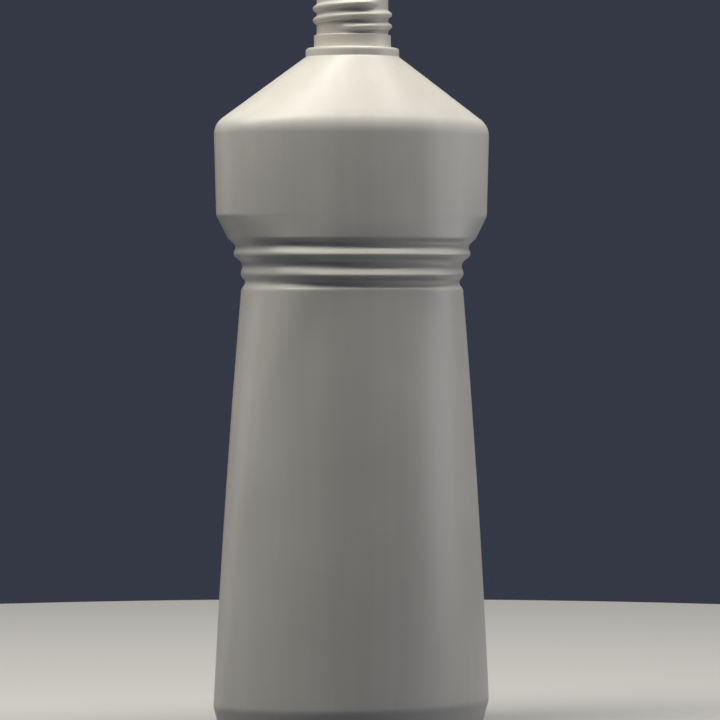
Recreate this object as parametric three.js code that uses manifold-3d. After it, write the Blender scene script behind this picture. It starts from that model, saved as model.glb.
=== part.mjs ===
// An all-purpose cleaner bottle of about one litre, without its cap: one hollow blow-moulded body.
// Millimetres, +Z up. The origin is the middle of the foot, X runs along the wide side and
// -Y is the front. Heights are measured from the foot.

import * as THREE from 'three';
import { mergeVertices } from 'three/addons/utils/BufferGeometryUtils.js';
import Module from 'manifold-3d';

// Driving dimensions: the wall and the foot
const WALL = 0.9;
const FOOT_WIDTH = 94.6;
const FOOT_DEPTH = 57.0;
const FOOT_END_RADIUS = 9;
const FOOT_LAND = 4.0;
const FOOT_ROUNDING = 2.0;
const PUSH_UP = 4.0;

// The lower body, from the edge above the foot up to the grip
const BASE_EDGE_HEIGHT = 10.3;
const BASE_WIDTH = 100.2;
const BASE_DEPTH = 63.0;
const BASE_END_RADIUS = 11.0;
const BASE_EDGE_ROUNDING = 1.2;
const BODY_TOP_HEIGHT = 155.0;
const BODY_TOP_WIDTH = 79.1;
const BODY_TOP_DEPTH = 60.4;
const BODY_TOP_ROUNDING = 1.4;
const BODY_BULGE = 0.66;

// The grip: three grooves and two ribs. A rib stands straight at the ends of the oval; at the
// front and back its face leans back towards the top, so the profile there is a saw tooth.
const LOW_GROOVE_HEIGHT = 156.95;
const LOW_GROOVE_WIDTH = 76.6;
const LOW_GROOVE_DEPTH = 56.2;
const LOW_RIB_HEIGHT = 160.5;
const LOW_RIB_WIDTH = 79.5;
const LOW_RIB_DEPTH = 62.0;
const MID_GROOVE_HEIGHT = 163.7;
const MID_GROOVE_WIDTH = 78.1;
const MID_GROOVE_DEPTH = 57.0;
const TOP_RIB_HEIGHT = 167.3;
const TOP_RIB_WIDTH = 84.5;
const TOP_RIB_DEPTH = 62.8;
const TOP_GROOVE_HEIGHT = 170.0;
const TOP_GROOVE_WIDTH = 83.2;
const TOP_GROOVE_DEPTH = 57.8;
const GROOVE_FLOOR = 1.2;
const GROOVE_ROUNDING = 0.7;
const RIB_FACE = 2.2;
const RIB_LEAN = 1.5;
const RIB_ROUNDING = 0.9;
const GRIP_END_RADIUS = 23.0;

// The band round the widest part, with an end slope that dies away towards the front and back
const BAND_LOWER_HEIGHT = 172.3;
const BAND_LOWER_WIDTH = 88.0;
const BAND_LOWER_DEPTH = 61.6;
const BAND_EDGE_HEIGHT = 180.1;
const BAND_EDGE_WIDTH = 97.2;
const BAND_EDGE_DEPTH = 62.6;
const BAND_TOP_HEIGHT = 211.7;
const BAND_TOP_WIDTH = 98.9;
const BAND_TOP_DEPTH = 63.0;
const BAND_END_RADIUS = 20.0;
const BAND_ROUNDING = 0.7;
const SHOULDER_ROUNDING = 5.0;

// The neck: flange, collar, threaded finish and lip
const SHOULDER_TOP_HEIGHT = 235.2;
const SHOULDER_TOP_DIAMETER = 33.0;
const FLANGE_DIAMETER = 32.6;
const FLANGE_TOP_HEIGHT = 238.4;
const FLANGE_ROUNDING = 1.2;
const COLLAR_DIAMETER = 26.8;
const COLLAR_TOP_HEIGHT = 242.9;
const COLLAR_ROUNDING = 0.5;
const NECK_DIAMETER = 24.95;
const BORE_DIAMETER = 21.5;
const LIP_HEIGHT = 257.6;
const LIP_ROUNDING = 0.5;

// The screw thread: one right-handed start whose ends fade into the neck
const THREAD_DIAMETER = 27.6;
const THREAD_PITCH = 4.06;
const THREAD_WIDTH = 3.0;
const THREAD_CREST_WIDTH = 1.8;
const THREAD_FLAT_WIDTH = 0.6;
const THREAD_FLANK_SHARE = 0.8;
const THREAD_BELOW_LIP = 3.9;
const THREAD_START_ANGLE = -136;
const THREAD_TURNS = 2.23;
const THREAD_FADE = 40;

// How finely curves are divided
const POINTS_ROUND = 60;
const CORNER_STEP = 1.5;
const CORNER_STEPS = 3;
const BODY_STEPS = 5;
const PUSH_UP_STEPS = 3;
const THREAD_STEP_ANGLE = 10;

// How far the thread's ridge starts inside the neck's wall, and how high it still is at its ends
const THREAD_SINK = 0.5;
const THREAD_END_RISE = 0.25;

// Limits of the ovals and corners: the least end radius, the largest one as a share of the half
// depth, the largest share of a side that a rounded corner takes, and when two sizes are the same
const LEAST_END_RADIUS = 1.0;
const ROUNDEST_END = 0.95;
const LONGEST_ROUNDING = 0.45;
const SAME_SIZE = 1e-6;

const DEGREE = Math.PI / 180;

// A level cut through the bottle: an oval of four arcs, given by its half width, its half
// depth and the radius of its two ends. round is how far its corner is rounded off.
function cut(height, width, depth, endRadius, round = 0) {
  return { z: height, x: width / 2, y: depth / 2, end: endRadius, round };
}

function roundCut(height, diameter, round = 0) {
  return cut(height, diameter, diameter, diameter / 2, round);
}

function mix(a, b, t) {
  return {
    z: a.z + (b.z - a.z) * t,
    x: a.x + (b.x - a.x) * t,
    y: a.y + (b.y - a.y) * t,
    end: a.end + (b.end - a.end) * t,
    round: 0,
  };
}

function distance(a, b) {
  return Math.hypot(a.z - b.z, ((a.x + a.y) - (b.x + b.y)) / 2);
}

// Rounds the corners of a run of cuts: each corner becomes a parabola that touches both sides.
// A larger rounding gets more steps.
function rounded(cuts) {
  const run = [cuts[0]];
  for (let i = 1; i < cuts.length - 1; i += 1) {
    const [before, corner, after] = [cuts[i - 1], cuts[i], cuts[i + 1]];
    if (corner.round === 0) {
      run.push(corner);
      continue;
    }
    const back = Math.min(corner.round / distance(corner, before), LONGEST_ROUNDING);
    const on = Math.min(corner.round / distance(corner, after), LONGEST_ROUNDING);
    const start = mix(corner, before, back);
    const end = mix(corner, after, on);
    const steps = Math.min(Math.max(Math.round(corner.round / CORNER_STEP), 1), CORNER_STEPS);
    for (let step = 0; step <= steps; step += 1) {
      const t = step / steps;
      run.push(mix(mix(start, corner, t), mix(corner, end, t), t));
    }
  }
  run.push(cuts[cuts.length - 1]);
  return run;
}

// The point at share t of the way round an oval cut, by length, starting at its +X end.
function ovalPoint(section, t) {
  const quarter = Math.floor(t * 4) % 4;
  const share = t * 4 - Math.floor(t * 4);
  const along = quarter % 2 === 0 ? share : 1 - share;
  const { x: halfWidth, y: halfDepth } = section;
  let px;
  let py;
  if (Math.abs(halfWidth - halfDepth) < SAME_SIZE) {
    px = halfWidth * Math.cos(along * 90 * DEGREE);
    py = halfWidth * Math.sin(along * 90 * DEGREE);
  } else {
    const end = Math.min(section.end, halfDepth * ROUNDEST_END);
    const side = ((halfWidth - end) ** 2 + halfDepth ** 2 - end ** 2) / (2 * (halfDepth - end));
    const turn = Math.atan2(side - halfDepth, halfWidth - end);
    const endLength = end * turn;
    const length = along * (endLength + side * (90 * DEGREE - turn));
    if (length < endLength) {
      px = halfWidth - end + end * Math.cos(length / end);
      py = end * Math.sin(length / end);
    } else {
      const angle = turn + (length - endLength) / side;
      px = side * Math.cos(angle);
      py = halfDepth - side + side * Math.sin(angle);
    }
  }
  return [quarter === 1 || quarter === 2 ? -px : px, quarter >= 2 ? -py : py];
}

// A closed skin through a run of cuts, with a point on the axis at each end.
function loft(cuts, firstPole, lastPole) {
  const positions = [0, 0, firstPole];
  const faces = [];
  for (const section of cuts) {
    for (let k = 0; k < POINTS_ROUND; k += 1) {
      const [px, py] = ovalPoint(section, k / POINTS_ROUND);
      positions.push(px, py, section.z);
    }
  }
  const last = positions.length / 3;
  positions.push(0, 0, lastPole);
  const at = (ring, k) => 1 + ring * POINTS_ROUND + (k % POINTS_ROUND);
  for (let k = 0; k < POINTS_ROUND; k += 1) {
    faces.push(0, at(0, k + 1), at(0, k));
    for (let ring = 0; ring < cuts.length - 1; ring += 1) {
      faces.push(at(ring, k), at(ring, k + 1), at(ring + 1, k + 1));
      faces.push(at(ring, k), at(ring + 1, k + 1), at(ring + 1, k));
    }
    faces.push(at(cuts.length - 1, k), at(cuts.length - 1, k + 1), last);
  }
  return surface(positions, faces);
}

function surface(positions, faces) {
  const geometry = new THREE.BufferGeometry();
  geometry.setAttribute('position', new THREE.Float32BufferAttribute(positions, 3));
  geometry.setIndex(faces);
  return geometry;
}

function grooveCuts(height, width, depth) {
  return [
    cut(height - GROOVE_FLOOR / 2, width, depth, GRIP_END_RADIUS, GROOVE_ROUNDING),
    cut(height + GROOVE_FLOOR / 2, width, depth, GRIP_END_RADIUS, GROOVE_ROUNDING),
  ];
}

function ribCuts(height, width, depth) {
  const leaned = depth - 2 * RIB_LEAN;
  return [
    cut(height - RIB_FACE / 2, width, depth, GRIP_END_RADIUS, RIB_ROUNDING),
    cut(height + RIB_FACE / 2, width, leaned, GRIP_END_RADIUS, RIB_ROUNDING),
  ];
}

// The cuts of the outside from the edge of the foot up to the underside of the flange.
function bodyCuts() {
  const base = cut(BASE_EDGE_HEIGHT, BASE_WIDTH, BASE_DEPTH, BASE_END_RADIUS, BASE_EDGE_ROUNDING);
  const top = cut(BODY_TOP_HEIGHT, BODY_TOP_WIDTH, BODY_TOP_DEPTH, GRIP_END_RADIUS,
    BODY_TOP_ROUNDING);
  const bulging = [];
  for (let step = 1; step < BODY_STEPS; step += 1) {
    const t = step / BODY_STEPS;
    const section = mix(base, top, t);
    section.x += BODY_BULGE * 4 * t * (1 - t);
    section.y += BODY_BULGE * 4 * t * (1 - t);
    bulging.push(section);
  }
  return [
    base,
    ...bulging,
    top,
    ...grooveCuts(LOW_GROOVE_HEIGHT, LOW_GROOVE_WIDTH, LOW_GROOVE_DEPTH),
    ...ribCuts(LOW_RIB_HEIGHT, LOW_RIB_WIDTH, LOW_RIB_DEPTH),
    ...grooveCuts(MID_GROOVE_HEIGHT, MID_GROOVE_WIDTH, MID_GROOVE_DEPTH),
    ...ribCuts(TOP_RIB_HEIGHT, TOP_RIB_WIDTH, TOP_RIB_DEPTH),
    ...grooveCuts(TOP_GROOVE_HEIGHT, TOP_GROOVE_WIDTH, TOP_GROOVE_DEPTH),
    cut(BAND_LOWER_HEIGHT, BAND_LOWER_WIDTH, BAND_LOWER_DEPTH, GRIP_END_RADIUS, BAND_ROUNDING),
    cut(BAND_EDGE_HEIGHT, BAND_EDGE_WIDTH, BAND_EDGE_DEPTH, BAND_END_RADIUS, BAND_ROUNDING),
    cut(BAND_TOP_HEIGHT, BAND_TOP_WIDTH, BAND_TOP_DEPTH, BAND_END_RADIUS, SHOULDER_ROUNDING),
  ];
}

// The foot as the bottle stands: a pushed-up middle, a flat land all round and a rounded edge.
function footCuts(lift, shrink) {
  const edge = cut(lift, FOOT_WIDTH - shrink, FOOT_DEPTH - shrink, FOOT_END_RADIUS, FOOT_ROUNDING);
  const inner = {
    z: lift,
    x: edge.x - FOOT_LAND - FOOT_ROUNDING,
    y: edge.y - FOOT_LAND - FOOT_ROUNDING,
    end: Math.max(edge.end - FOOT_LAND - FOOT_ROUNDING, LEAST_END_RADIUS),
    round: 0,
  };
  const raised = [];
  for (let step = 1; step < PUSH_UP_STEPS; step += 1) {
    const t = step / PUSH_UP_STEPS;
    raised.unshift({
      z: lift + PUSH_UP * (1 - (1 - t) ** 2),
      x: inner.x * (1 - t),
      y: inner.y * (1 - t),
      end: inner.end * (1 - t),
      round: 0,
    });
  }
  return [...raised, inner, edge];
}

// The neck's outside, from the underside of the flange to the lip and down the bore.
function neckCuts() {
  return [
    roundCut(SHOULDER_TOP_HEIGHT, SHOULDER_TOP_DIAMETER),
    roundCut(SHOULDER_TOP_HEIGHT, FLANGE_DIAMETER),
    roundCut(FLANGE_TOP_HEIGHT, FLANGE_DIAMETER, FLANGE_ROUNDING),
    roundCut(FLANGE_TOP_HEIGHT, COLLAR_DIAMETER),
    roundCut(COLLAR_TOP_HEIGHT, COLLAR_DIAMETER, COLLAR_ROUNDING),
    roundCut(COLLAR_TOP_HEIGHT, NECK_DIAMETER),
    roundCut(LIP_HEIGHT, NECK_DIAMETER, LIP_ROUNDING),
    roundCut(LIP_HEIGHT, BORE_DIAMETER),
  ];
}

// The same cuts moved inwards by one wall, square to the outline at each corner. A corner that is
// rounded by less than the wall comes out sharp inside.
function inset(cuts) {
  return cuts.map((section, i) => {
    const before = cuts[Math.max(i - 1, 0)];
    const after = cuts[Math.min(i + 1, cuts.length - 1)];
    const normalOf = (a, b) => {
      const rise = b.z - a.z;
      const run = ((b.x + b.y) - (a.x + a.y)) / 2;
      const length = Math.hypot(rise, run) || 1;
      return [rise / length, -run / length];
    };
    const one = i > 0 ? normalOf(before, section) : normalOf(section, after);
    const two = i < cuts.length - 1 ? normalOf(section, after) : one;
    const spread = 1 + one[0] * two[0] + one[1] * two[1];
    const side = WALL * (one[0] + two[0]) / spread;
    const down = WALL * (one[1] + two[1]) / spread;
    return {
      z: section.z - down,
      x: section.x - side,
      y: section.y - side,
      end: Math.max(section.end - side, LEAST_END_RADIUS),
      round: section.round > WALL ? section.round : 0,
    };
  });
}

// The skin of the whole bottle: up the outside, over the lip, and down the inside to the floor.
function bottleSkin() {
  const shoulderTop = roundCut(SHOULDER_TOP_HEIGHT, SHOULDER_TOP_DIAMETER);
  const outside = [...footCuts(0, 0), ...bodyCuts(), ...neckCuts()];
  const insideBody = inset([...bodyCuts(), shoulderTop]).slice(0, -1).reverse();
  const boreEnd = roundCut(SHOULDER_TOP_HEIGHT - WALL, BORE_DIAMETER);
  const insideFoot = footCuts(WALL, 2 * WALL).reverse();
  const inside = [boreEnd, ...insideBody, ...insideFoot];
  return loft([...rounded(outside), ...rounded(inside)], PUSH_UP, PUSH_UP + WALL);
}

// The thread: a ridge of rounded triangular section that follows a helix round the neck.
function threadRidge() {
  const root = NECK_DIAMETER / 2 - THREAD_SINK;
  const height = THREAD_DIAMETER / 2 - root;
  const steps = Math.round(THREAD_TURNS * 360 / THREAD_STEP_ANGLE);
  const topHeight = LIP_HEIGHT - THREAD_BELOW_LIP;
  const sections = [];
  for (let i = 0; i <= steps; i += 1) {
    const turned = THREAD_TURNS * 360 * i / steps;
    const fade = Math.min(turned, THREAD_TURNS * 360 - turned, THREAD_FADE) / THREAD_FADE;
    const rise = THREAD_END_RISE + (height - THREAD_END_RISE) * Math.sin(fade * 90 * DEGREE);
    const middle = topHeight - THREAD_PITCH * (THREAD_TURNS - turned / 360);
    const angle = (THREAD_START_ANGLE + turned) * DEGREE;
    const outline = [
      [root, -THREAD_WIDTH / 2],
      [root + rise * THREAD_FLANK_SHARE, -THREAD_CREST_WIDTH / 2],
      [root + rise, -THREAD_FLAT_WIDTH / 2],
      [root + rise, THREAD_FLAT_WIDTH / 2],
      [root + rise * THREAD_FLANK_SHARE, THREAD_CREST_WIDTH / 2],
      [root, THREAD_WIDTH / 2],
    ];
    sections.push(outline.map(([radius, up]) => [
      radius * Math.cos(angle), radius * Math.sin(angle), middle + up,
    ]));
  }
  const count = sections[0].length;
  const faces = [];
  for (let i = 0; i < steps; i += 1) {
    for (let k = 0; k < count; k += 1) {
      const next = (k + 1) % count;
      faces.push(i * count + next, i * count + k, (i + 1) * count + k);
      faces.push(i * count + next, (i + 1) * count + k, (i + 1) * count + next);
    }
  }
  for (let k = 1; k < count - 1; k += 1) {
    faces.push(0, k, k + 1);
    faces.push(steps * count, steps * count + k + 1, steps * count + k);
  }
  return surface(sections.flat(2), faces);
}

const wasm = await Module();
wasm.setup();

function solidOf(geometry) {
  const bare = mergeVertices(geometry);
  return new wasm.Manifold(new wasm.Mesh({
    numProp: 3,
    vertProperties: new Float32Array(bare.attributes.position.array),
    triVerts: new Uint32Array(bare.index.array),
  }));
}

function geometryOf(solid) {
  const mesh = solid.getMesh();
  const geometry = surface(Array.from(mesh.vertProperties), Array.from(mesh.triVerts));
  geometry.computeVertexNormals();
  return geometry;
}

// Moulded opaque white polyethylene with a soft satin skin
const polyethylene = new THREE.MeshStandardMaterial({
  color: '#ece8db',
  roughness: 0.45,
  metalness: 0,
});

const skin = solidOf(bottleSkin());
const thread = solidOf(threadRidge());
const bottle = new THREE.Mesh(geometryOf(skin.add(thread)), polyethylene);
bottle.name = 'bottle';

const group = new THREE.Group();
group.add(bottle);

export default group;
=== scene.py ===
# An all-purpose cleaner bottle of white polyethylene, without its cap, on a pale studio floor.
# Lengths are in metres where no comment says millimetres. The bottle stands on z = 0, X runs along
# its wide side, and -Y is its front.

import math

import bpy
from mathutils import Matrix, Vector


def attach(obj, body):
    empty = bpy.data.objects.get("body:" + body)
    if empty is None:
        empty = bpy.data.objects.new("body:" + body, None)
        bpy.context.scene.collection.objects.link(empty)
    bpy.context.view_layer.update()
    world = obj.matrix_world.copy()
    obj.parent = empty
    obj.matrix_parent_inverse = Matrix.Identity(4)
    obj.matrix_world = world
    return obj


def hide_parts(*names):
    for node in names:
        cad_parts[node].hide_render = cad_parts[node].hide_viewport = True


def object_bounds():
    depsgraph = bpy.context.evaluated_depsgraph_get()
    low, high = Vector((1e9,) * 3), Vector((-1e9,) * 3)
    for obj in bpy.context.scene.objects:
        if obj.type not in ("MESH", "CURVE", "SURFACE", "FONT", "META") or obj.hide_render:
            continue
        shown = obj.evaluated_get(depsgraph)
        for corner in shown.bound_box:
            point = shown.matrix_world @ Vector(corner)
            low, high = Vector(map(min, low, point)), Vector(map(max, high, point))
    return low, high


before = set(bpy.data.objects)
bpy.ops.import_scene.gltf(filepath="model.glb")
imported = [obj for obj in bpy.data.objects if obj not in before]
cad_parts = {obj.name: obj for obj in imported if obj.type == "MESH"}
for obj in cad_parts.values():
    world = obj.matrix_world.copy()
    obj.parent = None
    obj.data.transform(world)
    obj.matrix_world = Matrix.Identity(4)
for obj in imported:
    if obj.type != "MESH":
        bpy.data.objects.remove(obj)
cad_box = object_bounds()


# The blown body: one hollow shell of high-density polyethylene. A hot tube of plastic is closed in
# a two-part mould and blown against its walls, so each level cut through it is a smooth oval and
# every corner is softly rounded. A fine parting line runs up both ends where the mould closes.

MM = 0.001
WALL = 0.9 * MM

# Level cuts as (height, width, depth, end radius, corner rounding), in millimetres
FOOT_EDGE = (0, 94.6, 57.0, 9, 2.0)
FOOT_LAND = 4.0
PUSH_UP = 4.0
BASE_EDGE = (10.3, 100.2, 63.0, 11, 1.2)
BODY_TOP = (154.4, 78.5, 60.6, 28.5, 1.0)
BODY_BULGE = 0.66
BAND_LOWER = (172.1, 88.0, 62.5, 26.8, 0.6)
BAND_EDGE = (180.1, 97.2, 62.6, 20, 0.7)
BAND_TOP = (211.7, 98.9, 63.0, 20, 3.6)

# The grip's grooves and ribs as (height, width, depth), in millimetres
LOW_GROOVE = ((155.1, 77.9, 60.2), (156.0, 76.5, 57.9), (157.0, 75.9, 57.3), (157.8, 76.2, 58.2))
LOW_RIB = ((158.5, 77.2, 60.8), (159.3, 78.5, 62.5), (160.2, 78.8, 61.9), (161.2, 78.4, 60.7))
MID_GROOVE = ((162.4, 77.6, 58.9), (163.6, 78.2, 57.8), (164.8, 80.0, 58.4))
TOP_RIB = ((165.5, 82.6, 61.0), (166.4, 83.8, 62.9), (167.4, 84.0, 62.3), (168.6, 82.9, 60.7))
TOP_GROOVE = ((169.9, 83.1, 58.8), (171.0, 85.4, 58.5))
GRIP_ROUNDING = 1.0
SIDE_ARC_CENTRE = 30.5

# The neck: heights and diameters, in millimetres
SHOULDER_TOP_HEIGHT = 235.2
SHOULDER_TOP_DIAMETER = 33.0
FLANGE_DIAMETER = 32.6
FLANGE_TOP_HEIGHT = 238.4
FLANGE_ROUNDING = 1.2
COLLAR_DIAMETER = 26.8
COLLAR_TOP_HEIGHT = 242.9
COLLAR_ROUNDING = 0.5
NECK_DIAMETER = 24.95
BORE_DIAMETER = 21.5
LIP_HEIGHT = 257.6
LIP_ROUNDING = 0.5
INNER_CORNER = 0.3
SHOULDER_INSIDE_ROUNDING = 1.0

# How finely the skin is divided: steps round a quarter, in a corner, and in its long stretches.
# The shoulder's first steps are left out, to leave room for the rounding at the band's top.
QUARTER_STEPS = 44
CORNER_STEPS = 5
INSIDE_CORNER_STEPS = 2
BODY_STEPS = 26
SHOULDER_STEPS = 14
SHOULDER_STEPS_LEFT_OUT = 2
THREAD_ROWS = 96
PUSH_UP_STEPS = 10

# Limits that keep an oval an oval: the share of a stretch that a rounding may take, an end radius
# against the half depth, the least end radius, and half widths that count as the same
LONGEST_ROUNDING = 0.45
ROUNDEST_END = 0.95
LEAST_END_RADIUS = 1.0
SAME_SIZE = 1e-6

# The parting line: shares of a quarter of the way round, and how many millimetres the skin stands
# out there
PARTING_LINE = ((0.0, 0.10), (0.0012, 0.09), (0.0028, 0.03), (0.0055, 0.0))


def level_cut(height, width, depth, end_radius, rounding=0.0):
    return {"z": height, "x": width / 2, "y": depth / 2, "end": end_radius, "round": rounding}


def round_cut(height, diameter, rounding=0.0):
    return level_cut(height, diameter, diameter, diameter / 2, rounding)


def grip_cut(height, width, depth):
    """A cut whose long side arcs have the same centres as those of the grip's other cuts."""
    side = depth / 2 + SIDE_ARC_CENTRE
    end = (side**2 - (width / 2) ** 2 - SIDE_ARC_CENTRE**2) / (2 * (side - width / 2))
    return level_cut(height, width, depth, end, GRIP_ROUNDING)


def mix_cuts(a, b, t):
    """The cut that lies this share of the way from the first to the second, without a rounding."""
    mixed = {key: a[key] + (b[key] - a[key]) * t for key in ("z", "x", "y", "end")}
    mixed["round"] = 0.0
    return mixed


def cut_distance(a, b):
    return math.hypot(a["z"] - b["z"], ((a["x"] + a["y"]) - (b["x"] + b["y"])) / 2)


def round_corners(cuts, steps):
    """The run of cuts with each rounded one replaced by a curve of cuts."""
    run = [cuts[0]]
    for before, corner, after in zip(cuts, cuts[1:], cuts[2:]):
        if not corner["round"]:
            run.append(corner)
            continue
        back = min(corner["round"] / cut_distance(corner, before), LONGEST_ROUNDING)
        ahead = min(corner["round"] / cut_distance(corner, after), LONGEST_ROUNDING)
        start = mix_cuts(corner, before, back)
        end = mix_cuts(corner, after, ahead)
        for step in range(steps + 1):
            t = step / steps
            run.append(mix_cuts(mix_cuts(start, corner, t), mix_cuts(corner, end, t), t))
    run.append(cuts[-1])
    return run


def divide(a, b, steps):
    return [mix_cuts(a, b, step / steps) for step in range(1, steps)]


def oval_point(cut, share):
    """The point at this share of the first quarter, by length, from the oval's +X end."""
    half_width, half_depth = cut["x"], cut["y"]
    if abs(half_width - half_depth) < SAME_SIZE:
        angle = share * math.pi / 2
        return half_width * math.cos(angle), half_width * math.sin(angle)
    end = min(cut["end"], half_depth * ROUNDEST_END)
    side = ((half_width - end) ** 2 + half_depth**2 - end**2) / (2 * (half_depth - end))
    turn = math.atan2(side - half_depth, half_width - end)
    end_length = end * turn
    length = share * (end_length + side * (math.pi / 2 - turn))
    if length < end_length:
        return half_width - end + end * math.cos(length / end), end * math.sin(length / end)
    angle = turn + (length - end_length) / side
    return side * math.cos(angle), half_depth - side + side * math.sin(angle)


def quarter_shares():
    """Even shares of a quarter, with the parting line's fine ones at its start."""
    fine = [share for share, _ in PARTING_LINE]
    even = [step / QUARTER_STEPS for step in range(1, QUARTER_STEPS)]
    return fine + even


def ring(cut, line_height):
    """All points of one level cut, anticlockwise from the +X end."""
    shares = quarter_shares()
    heights = dict(PARTING_LINE)
    points = []
    for quarter in range(4):
        run = shares if quarter % 2 == 0 else [1.0] + shares[:0:-1]
        for share in run:
            x, y = oval_point(cut, share)
            x += heights.get(share, 0.0) * line_height
            points.append((-x if quarter in (1, 2) else x, -y if quarter >= 2 else y, cut["z"]))
    return points


def inset_cuts(cuts, wall):
    """The same cuts moved inwards by one wall, square to the outline at each corner."""
    def normal(a, b):
        rise = b["z"] - a["z"]
        run = ((b["x"] + b["y"]) - (a["x"] + a["y"])) / 2
        length = math.hypot(rise, run)
        return rise / length, -run / length

    moved = []
    for i, cut in enumerate(cuts):
        first = normal(cuts[i - 1], cut) if i else normal(cut, cuts[1])
        second = normal(cut, cuts[i + 1]) if i < len(cuts) - 1 else first
        spread = 1 + first[0] * second[0] + first[1] * second[1]
        side = wall * (first[0] + second[0]) / spread
        down = wall * (first[1] + second[1]) / spread
        inner = level_cut(cut["z"] - down, 2 * (cut["x"] - side), 2 * (cut["y"] - side),
                          max(cut["end"] - side, LEAST_END_RADIUS), cut["round"])
        moved.append(inner)
    return moved


def body_cuts():
    """The lower body with its slight bulge, the grip and the band, from the base edge up."""
    base = level_cut(*BASE_EDGE)
    top = level_cut(*BODY_TOP)
    bulging = divide(base, top, BODY_STEPS)
    for step, cut in enumerate(bulging, start=1):
        t = step / BODY_STEPS
        cut["x"] += BODY_BULGE * 4 * t * (1 - t)
        cut["y"] += BODY_BULGE * 4 * t * (1 - t)
    grip = [grip_cut(*c) for c in (*LOW_GROOVE, *LOW_RIB, *MID_GROOVE, *TOP_RIB, *TOP_GROOVE)]
    band = [level_cut(*c) for c in (BAND_LOWER, BAND_EDGE, BAND_TOP)]
    return [base, *bulging, top, *grip, *band]


def foot_cuts(lift, shrink):
    """The pushed-up middle of the underside, the land it stands on and the foot's edge."""
    height, width, depth, end_radius, rounding = FOOT_EDGE
    edge = level_cut(height + lift, width - shrink, depth - shrink, end_radius, rounding)
    inward = FOOT_LAND + rounding
    land = level_cut(edge["z"], 2 * (edge["x"] - inward), 2 * (edge["y"] - inward),
                     max(end_radius - inward, LEAST_END_RADIUS))
    raised = []
    for step in range(1, PUSH_UP_STEPS):
        t = step / PUSH_UP_STEPS
        raised.insert(0, level_cut(edge["z"] + PUSH_UP * (1 - (1 - t) ** 2), 2 * land["x"] * (1 - t),
                                   2 * land["y"] * (1 - t), land["end"] * (1 - t)))
    return [*raised, land, edge]


def neck_cuts():
    """From the shoulder's top over the flange, collar and lip, and down the bore."""
    shoulder_top = round_cut(SHOULDER_TOP_HEIGHT, SHOULDER_TOP_DIAMETER, INNER_CORNER)
    finish_low = round_cut(COLLAR_TOP_HEIGHT, NECK_DIAMETER, INNER_CORNER)
    finish_high = round_cut(LIP_HEIGHT, NECK_DIAMETER, LIP_ROUNDING)
    return [
        shoulder_top,
        round_cut(SHOULDER_TOP_HEIGHT, FLANGE_DIAMETER, INNER_CORNER),
        round_cut(FLANGE_TOP_HEIGHT, FLANGE_DIAMETER, FLANGE_ROUNDING),
        round_cut(FLANGE_TOP_HEIGHT, COLLAR_DIAMETER, INNER_CORNER),
        round_cut(COLLAR_TOP_HEIGHT, COLLAR_DIAMETER, COLLAR_ROUNDING),
        finish_low,
        *divide(finish_low, finish_high, THREAD_ROWS),
        finish_high,
        round_cut(LIP_HEIGHT, BORE_DIAMETER, LIP_ROUNDING),
        round_cut(SHOULDER_TOP_HEIGHT - WALL / MM, BORE_DIAMETER, SHOULDER_INSIDE_ROUNDING),
    ]


def bottle_mesh(name):
    """One closed skin: up the outside, over the lip and down the inside to the floor."""
    body = body_cuts()
    shoulder_top = round_cut(SHOULDER_TOP_HEIGHT, SHOULDER_TOP_DIAMETER)
    shoulder = divide(body[-1], shoulder_top, SHOULDER_STEPS)[SHOULDER_STEPS_LEFT_OUT:]
    outside = [*foot_cuts(0, 0), *body, *shoulder, *neck_cuts()]
    inside_body = inset_cuts([*body, shoulder_top], WALL / MM)[:-1]
    inside = [*inside_body[::-1], *foot_cuts(WALL / MM, 2 * WALL / MM)[::-1]]
    outer_run = round_corners([*outside, inside[0]], CORNER_STEPS)[:-1]
    inner_run = round_corners(inside, INSIDE_CORNER_STEPS)
    cuts = outer_run + inner_run
    widest = max(x for cut in outer_run for x, _, _ in ring(cut, 1.0))
    deepest = max(cut["y"] for cut in outer_run)
    scale_x = cad_box[1][0] / (widest * MM)
    scale_y = cad_box[1][1] / (deepest * MM)
    line = [1.0 if FOOT_EDGE[0] < c["z"] < COLLAR_TOP_HEIGHT and i < len(outer_run) else 0.0
            for i, c in enumerate(cuts)]
    count = len(ring(cuts[0], 0.0))
    points = [(0.0, 0.0, PUSH_UP * MM)]
    for cut, height in zip(cuts, line):
        points += [(x * MM * min(scale_x, 1.0), y * MM * min(scale_y, 1.0), z * MM)
                   for x, y, z in ring(cut, height)]
    points.append((0.0, 0.0, (PUSH_UP + WALL / MM) * MM))
    faces = []
    for k in range(count):
        after = (k + 1) % count
        faces.append((0, 1 + after, 1 + k))
        for row in range(len(cuts) - 1):
            low = 1 + row * count
            high = low + count
            faces.append((low + k, low + after, high + after, high + k))
        last = 1 + (len(cuts) - 1) * count
        faces.append((last + k, last + after, len(points) - 1))
    mesh = bpy.data.meshes.new(name)
    mesh.from_pydata(points, [], faces)
    mesh.shade_smooth()
    return mesh


bottle = bpy.data.objects.new("moulded_bottle", bottle_mesh("moulded_bottle"))
bpy.context.collection.objects.link(bottle)


# The plastic: high-density polyethylene filled opaque white, blow-moulded. It gives the eye a warm
# white with a satin gloss, a faint orange peel from the blasted mould, soft vertical flow lines
# from the blown tube, and a little light that scatters just under the skin.

MOULDED_WHITE = "#efebdf"
SHADED_WHITE = "#e6e2d6"
FLOW_LINE_WIDTH = 9.0 * MM
FLOW_LINE_HEIGHT = 0.15 * MM
FLOW_LINE_STRETCH = 0.04
ORANGE_PEEL = 1.6 * MM
ORANGE_PEEL_HEIGHT = 0.05 * MM
PATCHES_PER_METRE = 28.0
LIGHT_DEPTH = 1.5 * MM

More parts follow.
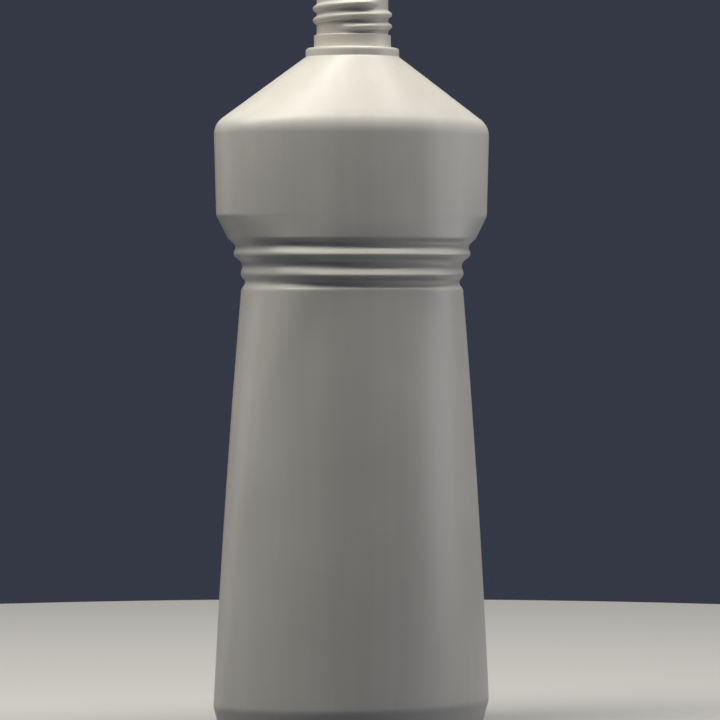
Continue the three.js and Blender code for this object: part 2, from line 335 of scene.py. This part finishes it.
# The grain of a blasted mould is finer than this. It is drawn as coarse as it needs to show.
MOULD_GRAIN = 0.35 * MM
MOULD_GRAIN_HEIGHT = 0.02 * MM


def linear(colour):
    """An sRGB hex colour as linear red, green, blue and alpha."""
    channels = [int(colour[i:i + 2], 16) / 255 for i in (1, 3, 5)]
    return [c / 12.92 if c <= 0.04045 else ((c + 0.055) / 1.055) ** 2.4 for c in channels] + [1.0]


def add_node(tree, kind, inputs=(), **settings):
    """Adds a node, sets its settings, and fills its inputs with values, sockets or nodes."""
    made = tree.nodes.new(kind)
    for key, value in settings.items():
        setattr(made, key, value)
    for key, value in dict(inputs).items():
        if isinstance(value, bpy.types.Node):
            tree.links.new(value.outputs[0], made.inputs[key])
        elif isinstance(value, bpy.types.NodeSocket):
            tree.links.new(value, made.inputs[key])
        else:
            made.inputs[key].default_value = value
    return made


def moulded_polyethylene():
    material = bpy.data.materials.new("white_blow_moulded_polyethylene")
    material.use_nodes = True
    tree = material.node_tree
    tree.nodes.clear()
    place = add_node(tree, "ShaderNodeTexCoord").outputs["Object"]
    stretched = add_node(tree, "ShaderNodeMapping", {"Vector": place,
                                                     "Scale": (1.0, 1.0, FLOW_LINE_STRETCH)})
    flow = add_node(tree, "ShaderNodeTexNoise", {"Vector": stretched, "Scale": 1 / FLOW_LINE_WIDTH,
                                                 "Detail": 3.0, "Roughness": 0.6})
    patches = add_node(tree, "ShaderNodeTexNoise", {"Vector": place, "Scale": PATCHES_PER_METRE,
                                                    "Detail": 2.0})
    peel = add_node(tree, "ShaderNodeTexNoise", {"Vector": place, "Scale": 1 / ORANGE_PEEL,
                                                 "Detail": 2.0, "Roughness": 0.4})
    grain = add_node(tree, "ShaderNodeTexNoise", {"Vector": place, "Scale": 1 / MOULD_GRAIN,
                                                  "Detail": 1.0})
    blend = add_node(tree, "ShaderNodeMath", {0: flow, 1: patches}, operation="MULTIPLY")
    shade = add_node(tree, "ShaderNodeMapRange", {"Value": blend, "From Min": 0.15, "From Max": 0.4})
    colour = add_node(tree, "ShaderNodeMix", {"Factor": shade, "A": linear(SHADED_WHITE),
                                              "B": linear(MOULDED_WHITE)}, data_type="RGBA")
    gloss = add_node(tree, "ShaderNodeMapRange", {"Value": patches, "From Min": 0.3, "From Max": 0.7,
                                                  "To Min": 0.34, "To Max": 0.40})
    fine = add_node(tree, "ShaderNodeBump", {"Height": grain, "Strength": 0.12,
                                             "Distance": MOULD_GRAIN_HEIGHT})
    soft = add_node(tree, "ShaderNodeBump", {"Height": peel, "Strength": 0.25,
                                             "Distance": ORANGE_PEEL_HEIGHT, "Normal": fine})
    wavy = add_node(tree, "ShaderNodeBump", {"Height": flow, "Strength": 0.15,
                                             "Distance": FLOW_LINE_HEIGHT, "Normal": soft})
    shader = add_node(tree, "ShaderNodeBsdfPrincipled", {
        "Base Color": colour.outputs["Result"], "Roughness": gloss, "IOR": 1.54, "Normal": wavy,
        "Subsurface Weight": 0.15, "Subsurface Radius": (1.0, 0.9, 0.75),
        "Subsurface Scale": LIGHT_DEPTH})
    add_node(tree, "ShaderNodeOutputMaterial", {"Surface": shader})
    return material


polyethylene = moulded_polyethylene()
bottle.data.materials.append(polyethylene)


# The screw thread: one right-handed ridge, moulded in one with the neck, that takes the cap.
# It climbs a little over two turns and fades into the neck at both ends. The neck's rows of
# points are pushed out along the helix, so ridge and neck stay one skin with a soft root.

THREAD_PITCH = 4.06
THREAD_TURNS = 2.23
THREAD_END_BELOW_LIP = 3.9

THREAD = {
    "Pitch": THREAD_PITCH * MM,
    "Height": 1.32 * MM,
    "Crest": 0.25 * MM,
    "Root": 1.75 * MM,
    "Start Height": (LIP_HEIGHT - THREAD_END_BELOW_LIP - THREAD_PITCH * THREAD_TURNS) * MM,
    "Start Angle": math.radians(-136),
    "Turns": THREAD_TURNS,
    "Fade": 0.11,
    "Lowest": (COLLAR_TOP_HEIGHT + 0.35) * MM,
    "Highest": (LIP_HEIGHT - LIP_ROUNDING) * MM,
    "Least Radius": (NECK_DIAMETER + BORE_DIAMETER) / 4 * MM,
}


def thread_tree():
    tree = bpy.data.node_groups.new("screw_thread", "GeometryNodeTree")
    sockets = tree.interface
    sockets.new_socket("Geometry", in_out="INPUT", socket_type="NodeSocketGeometry")
    for name in THREAD:
        sockets.new_socket(name, in_out="INPUT", socket_type="NodeSocketFloat")
    sockets.new_socket("Material", in_out="INPUT", socket_type="NodeSocketMaterial")
    sockets.new_socket("Geometry", in_out="OUTPUT", socket_type="NodeSocketGeometry")
    size = add_node(tree, "NodeGroupInput").outputs
    math_node = "ShaderNodeMath"
    place = add_node(tree, "ShaderNodeSeparateXYZ", {0: add_node(tree, "GeometryNodeInputPosition")})
    x, y, z = place.outputs
    angle = add_node(tree, math_node, {0: y, 1: x}, operation="ARCTAN2")
    from_start = add_node(tree, math_node, {0: angle, 1: size["Start Angle"]}, operation="SUBTRACT")
    part_turn = add_node(tree, math_node, {0: from_start, 1: math.tau}, operation="DIVIDE")
    rise = add_node(tree, math_node, {0: z, 1: size["Start Height"]}, operation="SUBTRACT")
    climbed = add_node(tree, math_node, {0: rise, 1: size["Pitch"]}, operation="DIVIDE")
    gap = add_node(tree, math_node, {0: climbed, 1: part_turn}, operation="SUBTRACT")
    whole = add_node(tree, math_node, {0: gap}, operation="ROUND")
    off_crest = add_node(tree, math_node, {0: gap, 1: whole}, operation="SUBTRACT")
    off_size = add_node(tree, math_node, {0: off_crest, 1: size["Pitch"]}, operation="MULTIPLY")
    off_crest = add_node(tree, math_node, {0: off_size}, operation="ABSOLUTE")
    profile = add_node(tree, "ShaderNodeMapRange", {
        "Value": off_crest, "From Min": size["Root"], "From Max": size["Crest"]},
        interpolation_type="SMOOTHSTEP")
    turned = add_node(tree, math_node, {0: part_turn, 1: whole}, operation="ADD")
    left = add_node(tree, math_node, {0: size["Turns"], 1: turned}, operation="SUBTRACT")
    nearest = add_node(tree, math_node, {0: turned, 1: left}, operation="MINIMUM")
    fade = add_node(tree, "ShaderNodeMapRange", {"Value": nearest, "From Min": 0.0,
                                                 "From Max": size["Fade"]},
                    interpolation_type="SMOOTHSTEP")
    out = add_node(tree, math_node, {0: profile, 1: fade}, operation="MULTIPLY")
    out = add_node(tree, math_node, {0: out, 1: size["Height"]}, operation="MULTIPLY")
    flat = add_node(tree, "ShaderNodeCombineXYZ", {0: x, 1: y})
    outward = add_node(tree, "ShaderNodeVectorMath", {0: flat}, operation="NORMALIZE")
    radius = add_node(tree, "ShaderNodeVectorMath", {0: flat}, operation="LENGTH").outputs["Value"]
    shift = add_node(tree, "ShaderNodeVectorMath", {0: outward, "Scale": out}, operation="SCALE")
    above = add_node(tree, math_node, {0: z, 1: size["Lowest"]}, operation="GREATER_THAN")
    below = add_node(tree, math_node, {0: z, 1: size["Highest"]}, operation="LESS_THAN")
    outer = add_node(tree, math_node, {0: radius, 1: size["Least Radius"]},
                     operation="GREATER_THAN")
    neck = add_node(tree, math_node, {0: above, 1: below}, operation="MULTIPLY")
    neck = add_node(tree, math_node, {0: neck, 1: outer}, operation="MULTIPLY")
    moved = add_node(tree, "GeometryNodeSetPosition", {"Geometry": size["Geometry"],
                                                       "Selection": neck, "Offset": shift})
    real = add_node(tree, "GeometryNodeRealizeInstances", {"Geometry": moved})
    made = add_node(tree, "GeometryNodeSetMaterial", {"Geometry": real,
                                                      "Material": size["Material"]})
    add_node(tree, "NodeGroupOutput", {0: made})
    return tree


modifier = bottle.modifiers.new("screw_thread", "NODES")
modifier.node_group = thread_tree()
for item in modifier.node_group.interface.items_tree:
    if item.in_out == "INPUT" and item.name in THREAD:
        modifier[item.identifier] = THREAD[item.name]
    elif item.in_out == "INPUT" and item.name == "Material":
        modifier[item.identifier] = polyethylene

threaded = bpy.data.meshes.new_from_object(bottle.evaluated_get(bpy.context.evaluated_depsgraph_get()))
bottle.modifiers.remove(modifier)
bottle.data = threaded
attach(bottle, "root")
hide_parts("bottle")


# The floor: a wide round sheet of pale matt studio paper that the bottle stands on. It lies flat,
# and its far edge shows a little way behind the bottle.

FLOOR_COLOUR = "#d9d7d2"
FLOOR_RADIUS = 0.55
FLOOR_SIDES = 96


def studio_floor():
    bpy.ops.mesh.primitive_circle_add(vertices=FLOOR_SIDES, radius=FLOOR_RADIUS, fill_type="NGON")
    floor = bpy.context.object
    floor.name = "studio_floor"
    paper = bpy.data.materials.new("pale_matt_paper")
    paper.use_nodes = True
    shader = paper.node_tree.nodes["Principled BSDF"]
    shader.inputs["Base Color"].default_value = linear(FLOOR_COLOUR)
    shader.inputs["Roughness"].default_value = 0.9
    floor.data.materials.append(paper)
    return floor


floor = studio_floor()
floor.visible_diffuse = False


# The light: one long soft box overhead, a little in front and to the left, lights the shoulder and
# the ribs' tops. A soft box at each side lights the ends, and a dim cool room the shaded front.
# The floor throws no soft light back onto the bottle, so that the lower body stays shaded.

MIDDLE_HEIGHT = cad_box[1][2] / 2


def soft_box(name, place, aim, size, power, colour):
    lamp = bpy.data.lights.new(name, "AREA")
    lamp.shape = "RECTANGLE"
    lamp.size, lamp.size_y = size
    lamp.energy = power
    lamp.color = linear(colour)[:3]
    box = bpy.data.objects.new(name, lamp)
    box.location = place
    box.rotation_euler = (Vector(aim) - Vector(place)).to_track_quat("-Z", "Y").to_euler()
    bpy.context.collection.objects.link(box)


soft_box("overhead_box", (-0.32, -0.13, 1.05), (-0.32, 0, 0.08), (1.8, 0.36), 14.5, "#fffdf6")
soft_box("left_box", (-0.95, 0.60, 0.35), (0, 0, MIDDLE_HEIGHT), (0.4, 0.8), 0.5, "#fafaff")
soft_box("right_box", (1.05, -0.32, 0.25), (0, 0, MIDDLE_HEIGHT), (0.6, 0.8), 2.6, "#fafaff")

room = bpy.data.worlds.new("dim_studio")
room.use_nodes = True
bpy.context.scene.world = room
room.node_tree.nodes["Background"].inputs["Color"].default_value = linear("#ccd6ff")
room.node_tree.nodes["Background"].inputs["Strength"].default_value = 0.06
bpy.context.scene.view_settings.view_transform = "Standard"


# The camera: at the photograph's angle, from the front and a little to the left, level with the
# grip, with a long lens. The rows and columns are those of a picture 720 pixels wide and high.

PIXELS_PER_METRE = 2870.0
PICTURE_SIZE = 720
AXIS_COLUMN = 352.4
EYE_ROW = 278.0
FOOT_ROW = 733.0
CAMERA_DISTANCE = 1.324
CAMERA_TURN = math.radians(18)
SENSOR = 36.0


def photo_camera():
    eye_height = (FOOT_ROW - EYE_ROW) / PIXELS_PER_METRE
    drop = (PICTURE_SIZE / 2 - EYE_ROW) / PIXELS_PER_METRE
    aside = (PICTURE_SIZE / 2 - AXIS_COLUMN) / PIXELS_PER_METRE
    towards = Vector((-math.sin(CAMERA_TURN), -math.cos(CAMERA_TURN), 0))
    across = Vector((math.cos(CAMERA_TURN), -math.sin(CAMERA_TURN), 0))
    lens = bpy.data.cameras.new("long_lens")
    lens.sensor_width = SENSOR
    lens.lens = SENSOR * CAMERA_DISTANCE * PIXELS_PER_METRE / PICTURE_SIZE
    lens.clip_end = 100.0
    camera = bpy.data.objects.new("photo_camera", lens)
    camera.location = towards * CAMERA_DISTANCE + across * aside + Vector((0, 0, eye_height))
    target = across * aside + Vector((0, 0, eye_height - drop))
    camera.rotation_euler = (target - camera.location).to_track_quat("-Z", "Y").to_euler()
    bpy.context.collection.objects.link(camera)
    bpy.context.scene.camera = camera


photo_camera()
